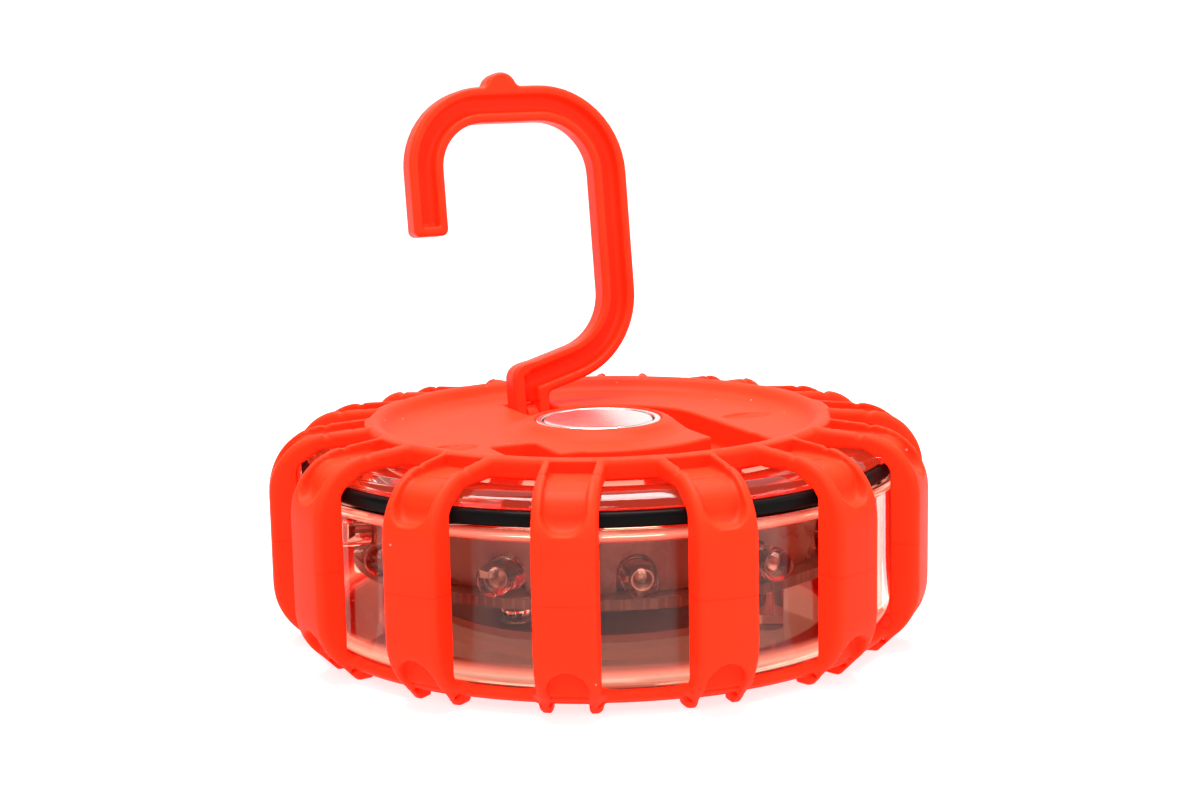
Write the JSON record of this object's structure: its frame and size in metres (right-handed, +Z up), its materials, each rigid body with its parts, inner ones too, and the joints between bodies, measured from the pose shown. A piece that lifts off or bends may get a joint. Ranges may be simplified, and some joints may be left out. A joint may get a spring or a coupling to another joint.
{
  "type": "led safety flare",
  "caption": "Round battery road flare: clear sealed LED case in a ribbed orange jacket, with a top magnet and a hanging hook that folds into its slot.",
  "frame": {"origin": "centre of the resting plane under the rib feet, on the round body's axis", "axes": "+Z up along the body's axis, the hook folds towards -Y about an axis along X"},
  "size_m": [0.1048, 0.105, 0.0883],
  "materials": {
    "jacket_rubber": "satin moulded",
    "clear_plastic": "polished clear",
    "gasket_rubber": "satin",
    "nickel_plate": "bright plated",
    "hook_plastic": "satin moulded",
    "screw_steel": "turned",
    "board_laminate": "solder mask",
    "chip_black": "matt",
    "capacitor_sleeve": "shrink sleeve",
    "white_plastic": "satin",
    "button_rubber": "satin moulded",
    "tray_plastic": "smoked",
    "cell_jacket": "printed film",
    "contact_metal": "nickel plated strip",
    "led_lens": "clear epoxy"
  },
  "bodies": {
    "flare_body": {"jacket_crown": "jacket_rubber", "jacket_ribs": "jacket_rubber", "jacket_base_ring": "jacket_rubber", "case_body": "clear_plastic", "case_lid": "clear_plastic", "lid_gasket": "gasket_rubber", "magnet_cup": "nickel_plate", "magnet_disc": "nickel_plate", "hinge_bracket": "hook_plastic", "bracket_screws": "screw_steel", "hook_pin": "screw_steel", "main_board": "board_laminate", "driver_chip": "chip_black", "chip_resistors": "chip_black", "filter_capacitor": "capacitor_sleeve", "board_screws": "screw_steel", "tact_switch": "chip_black", "button_retainer": "white_plastic", "battery_tray": "tray_plastic", "battery_1": "cell_jacket", "battery_2": "cell_jacket", "battery_3": "cell_jacket", "contact_springs": "contact_metal", "contact_plates": "contact_metal", "link_plate": "contact_metal", "led_leads": "contact_metal", "down_reflector": "white_plastic", "side_led_1": "led_lens", "side_led_2": "led_lens", "side_led_3": "led_lens", "side_led_4": "led_lens", "side_led_5": "led_lens", "side_led_6": "led_lens", "side_led_7": "led_lens", "side_led_8": "led_lens", "side_led_9": "led_lens", "side_led_10": "led_lens", "side_led_11": "led_lens", "side_led_12": "led_lens", "white_led_1": "led_lens", "white_led_2": "led_lens", "white_led_3": "led_lens"},
    "hook": {"hook": "hook_plastic"},
    "power_button": {"power_button": "button_rubber", "switch_plunger": "white_plastic"}
  },
  "joints": [
    {"name": "hook_fold", "type": "hinge", "parent": "flare_body", "child": "hook", "pos_m": [0, 0.0233, 0.0306], "axis": [1, 0, 0], "range_deg": [0, 98]},
    {"name": "power_button_press", "type": "slide", "parent": "flare_body", "child": "power_button", "axis": [0, 0, 1], "range_m": [0, 0.0005], "stiffness_N_per_m": 400, "springref_m": -0.0005}
  ]
}
